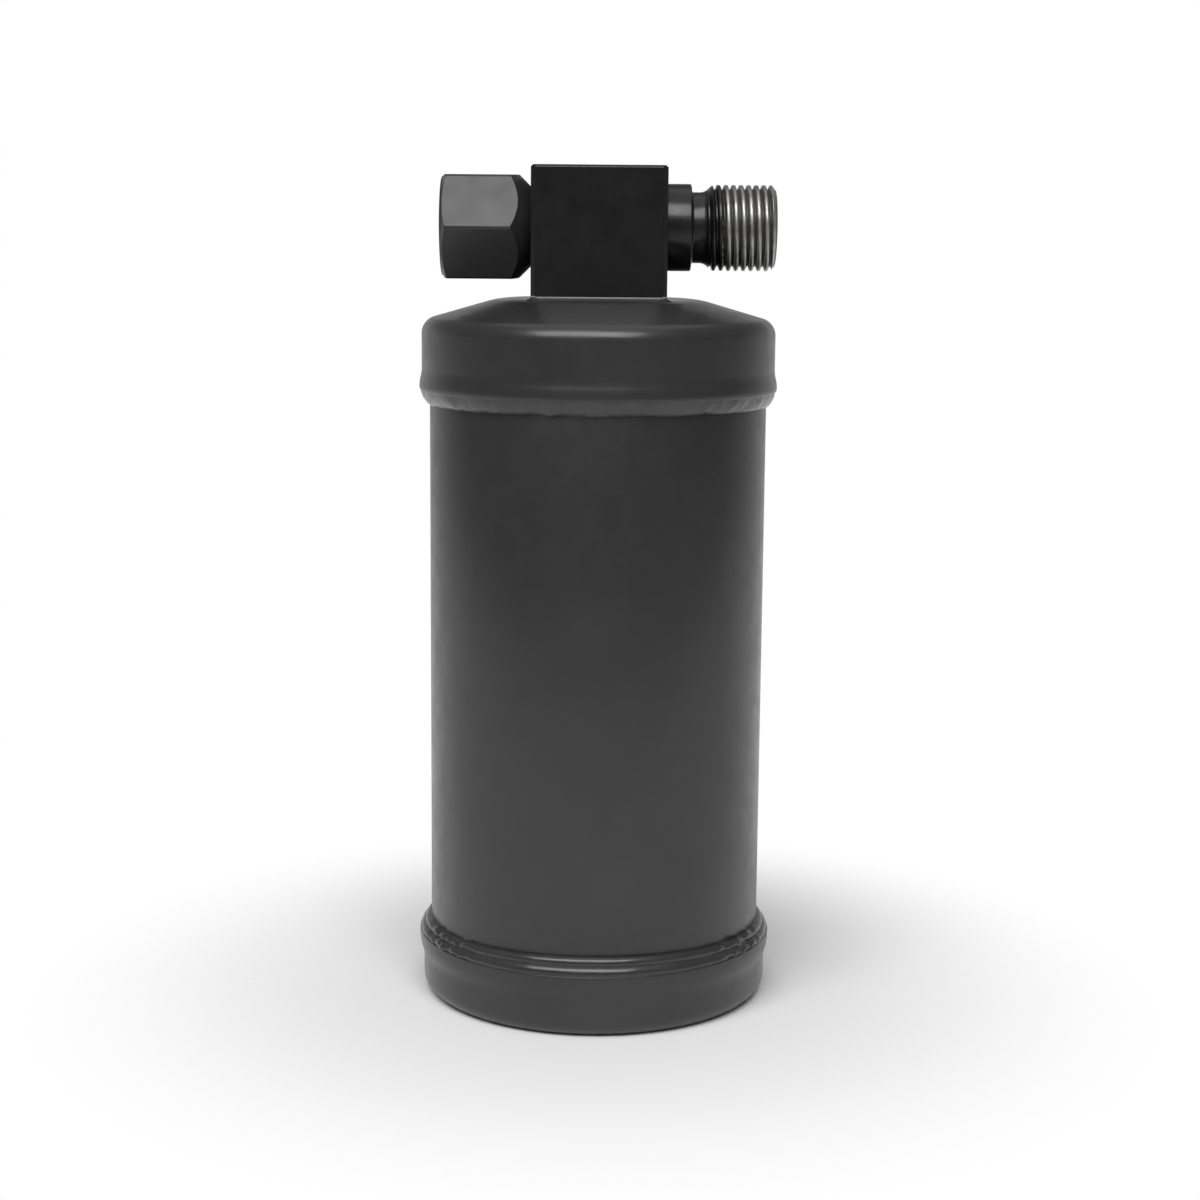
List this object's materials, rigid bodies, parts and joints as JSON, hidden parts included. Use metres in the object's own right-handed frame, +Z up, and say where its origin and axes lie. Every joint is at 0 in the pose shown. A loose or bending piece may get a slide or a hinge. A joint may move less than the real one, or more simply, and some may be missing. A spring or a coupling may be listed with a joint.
{
  "type": "refrigerant filter drier",
  "caption": "Steel canister drier with flared end caps, a square head block, a swivel hex nut inlet and a male threaded outlet.",
  "frame": {"origin": "centre of the base on the can's axis", "axes": "+Z up along the can's axis, +X along the fittings towards the male threaded outlet, +Y to the rear"},
  "size_m": [0.068, 0.068, 0.1578],
  "materials": {
    "painted_steel": "satin",
    "bare_steel": "machined",
    "seal_rubber": "smooth",
    "cage_plastic": "moulded",
    "filter_felt": "felt",
    "beads": "matt beads"
  },
  "bodies": {
    "canister": {"body_tube": "painted_steel", "bottom_cap": "painted_steel", "top_cap": "painted_steel", "upper_weld": "painted_steel", "lower_weld": "painted_steel", "head_block": "painted_steel", "block_braze": "painted_steel", "outlet_fitting": "painted_steel", "inlet_stub": "bare_steel", "inlet_o_ring": "seal_rubber", "pickup_tube": "bare_steel", "pickup_braze": "bare_steel", "strainer_frame": "cage_plastic", "strainer_screen": "bare_steel", "plate_support": "bare_steel", "lower_plate": "bare_steel", "upper_plate": "bare_steel", "lower_pad": "filter_felt", "upper_pad": "filter_felt", "desiccant_bed": "beads", "retaining_spring": "bare_steel"},
    "nut": {"swivel_nut": "painted_steel"}
  },
  "joints": [
    {"name": "nut_spin", "type": "hinge", "parent": "canister", "child": "nut", "pos_m": [-0.02, 0, 0.1467], "axis": [1, 0, 0], "continuous": true}
  ]
}
